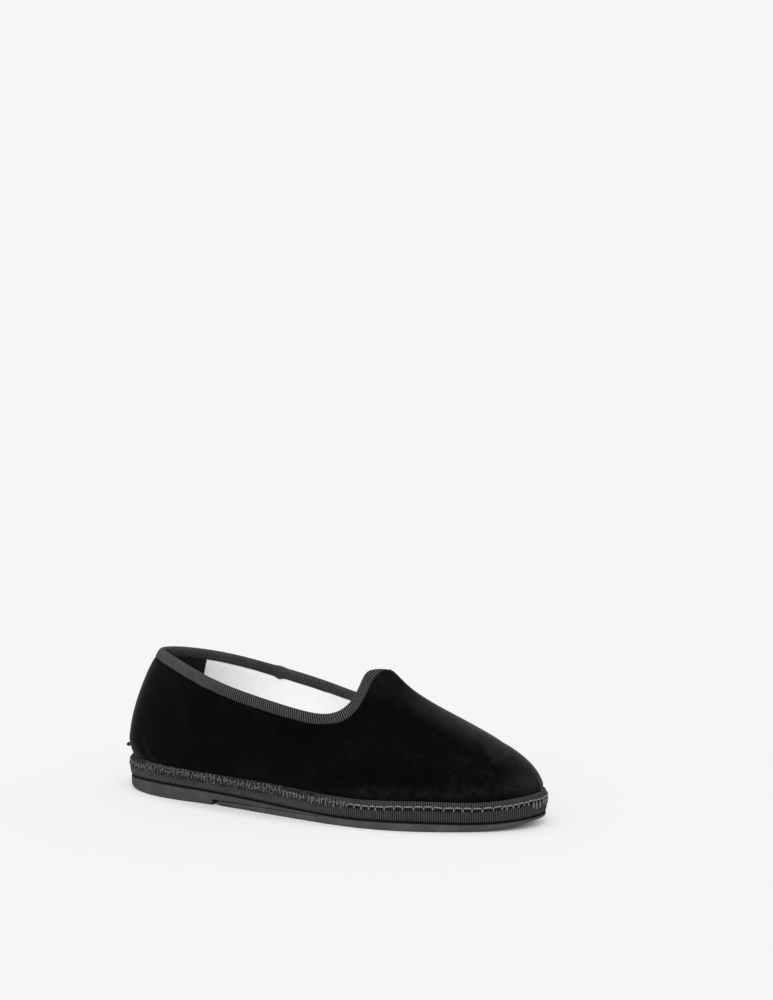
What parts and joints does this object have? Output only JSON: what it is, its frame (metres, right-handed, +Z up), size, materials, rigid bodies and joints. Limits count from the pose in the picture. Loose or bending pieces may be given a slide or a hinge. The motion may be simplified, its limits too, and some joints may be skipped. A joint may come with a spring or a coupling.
{
  "type": "velvet friulane slipper",
  "caption": "Low velvet slip-on slipper with grosgrain-bound collar, ribbed ribbon band round the sole, rubber heel and tread sheet; right shoe, standing empty.",
  "frame": {"origin": "on the floor under the middle of the shoe's bounding box", "axes": "+X from heel to toe, +Y to the wearer's left (the inner side of this right shoe), +Z up"},
  "size_m": [0.255, 0.0884, 0.0817],
  "materials": {
    "velvet": "black cotton velvet with a short nap",
    "collar_ribbon": "charcoal grosgrain ribbon, cross ribbed",
    "band_ribbon": "charcoal grosgrain ribbon with grey hand stitching",
    "insole_cloth": "plain white cotton",
    "heel_rubber": "matt brown-black rubber",
    "tread_rubber": "matt black rubber with fine tread"
  },
  "bodies": {
    "root": {"upper": "velvet", "collar_binding": "collar_ribbon", "sole_band": "band_ribbon", "insole": "insole_cloth", "heel": "heel_rubber", "outsole": "tread_rubber"}
  },
  "joints": []
}
